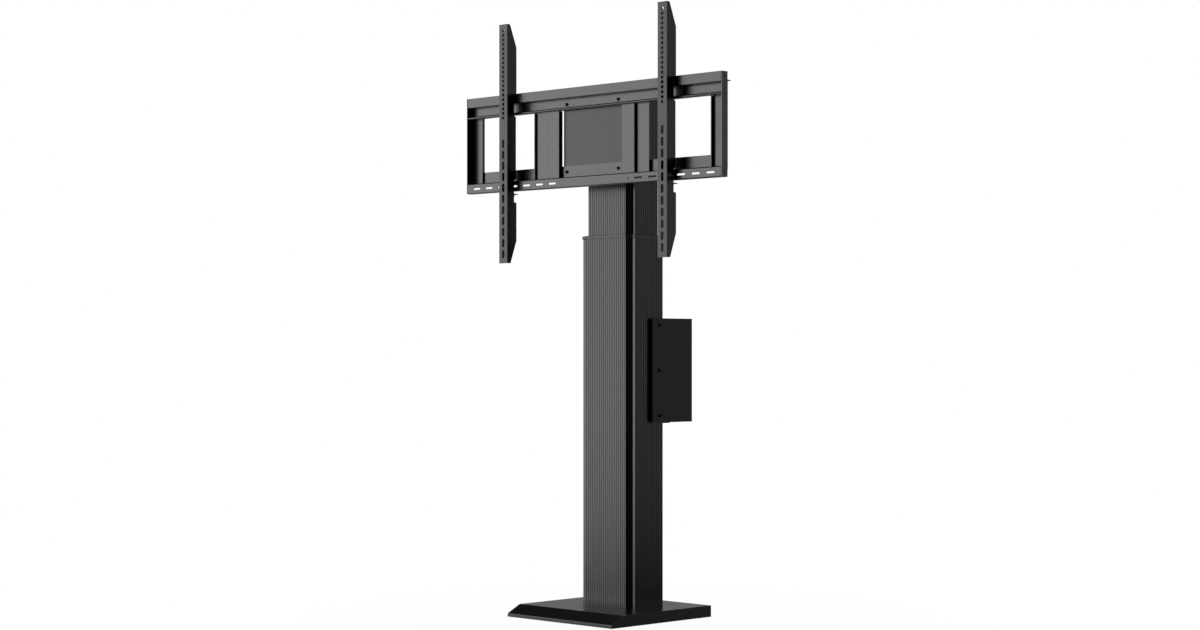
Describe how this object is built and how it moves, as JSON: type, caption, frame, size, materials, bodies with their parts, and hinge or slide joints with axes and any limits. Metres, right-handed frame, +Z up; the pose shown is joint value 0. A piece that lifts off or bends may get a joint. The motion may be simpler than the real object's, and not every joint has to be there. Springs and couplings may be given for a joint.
{
  "type": "tv lift stand",
  "caption": "Floor-standing motorised lift for a flat screen: weighted base, telescopic ribbed column with spindle drive, rail frame and sliding screen arms.",
  "frame": {"origin": "on the floor, under the axis of the column and of its spindle, on the underside of the anti-slip mat", "axes": "+Z up along the column; the front, which takes the screen, faces -Y; +X to the right seen from the front"},
  "size_m": [0.95, 0.4007, 1.5983],
  "materials": {
    "black_powder_coat": "fine black powder coat, satin",
    "housing_coat": "fine black powder coat, satin",
    "black_anodised": "black anodised extrusion with fine draw lines",
    "collar_plastic": "matt black moulding",
    "ballast_steel": "dark grey primer",
    "black_screws": "black oxide",
    "zinc_screws": "zinc plated",
    "mat_rubber": "ribbed rubber",
    "glide_plastic": "natural acetal",
    "gearbox_casting": "die cast",
    "motor_can": "plated can",
    "bright_steel": "rolled and oiled",
    "nut_bronze": "turned bronze",
    "unit_plastic": "moulded black plastic"
  },
  "bodies": {
    "stand": {"anti_slip_mat": "mat_rubber", "ballast_plate": "ballast_steel", "base_cover": "black_powder_coat", "cover_screws": "zinc_screws", "foot_spacers": "ballast_steel", "foot_plate": "black_powder_coat", "column_bolts": "zinc_screws", "outer_column": "black_anodised", "column_collar": "collar_plastic", "upper_glides": "glide_plastic", "gearbox": "gearbox_casting", "gearbox_screws": "zinc_screws", "motor": "motor_can", "thrust_bearing": "bright_steel", "rear_housing": "housing_coat", "housing_spacers": "black_screws", "housing_screws": "black_screws", "control_unit": "unit_plastic", "mains_inlet": "unit_plastic"},
    "spindle_drive": {"spindle": "bright_steel", "spindle_stop": "bright_steel"},
    "lift_head": {"spindle_nut": "nut_bronze", "nut_screws": "zinc_screws", "nut_carrier": "ballast_steel", "carrier_screws": "zinc_screws", "lower_glides": "glide_plastic", "inner_column": "black_anodised", "head_plate": "collar_plastic", "head_screws": "black_screws", "backing_plates": "ballast_steel", "adapter_bracket": "black_powder_coat", "adapter_bolts": "black_screws", "frame_screws": "black_screws", "top_rail": "black_powder_coat", "bottom_rail": "black_powder_coat", "left_end_member": "black_powder_coat", "right_end_member": "black_powder_coat", "left_strut": "black_powder_coat", "right_strut": "black_powder_coat"},
    "left_arm_carriage": {"left_arm": "black_powder_coat", "left_lock_plate": "black_powder_coat", "left_lock_screw": "black_screws"},
    "right_arm_carriage": {"right_arm": "black_powder_coat", "right_lock_plate": "black_powder_coat", "right_lock_screw": "black_screws"}
  },
  "joints": [
    {"name": "column_lift", "type": "slide", "parent": "stand", "child": "lift_head", "axis": [0, 0, 1], "range_m": [-0.1, 0.4]},
    {"name": "spindle_turn", "type": "hinge", "parent": "stand", "child": "spindle_drive", "pos_m": [0, 0, 0.11], "axis": [0, 0, 1], "range_deg": [-12000, 3000]},
    {"name": "left_arm_slide", "type": "slide", "parent": "lift_head", "child": "left_arm_carriage", "axis": [1, 0, 0], "range_m": [-0.1585, 0.1965]},
    {"name": "right_arm_slide", "type": "slide", "parent": "lift_head", "child": "right_arm_carriage", "axis": [1, 0, 0], "range_m": [-0.1965, 0.1585]}
  ],
  "couplings": [
    {"joint": "spindle_turn", "follows": "column_lift", "rad_per_m": -523.6}
  ]
}
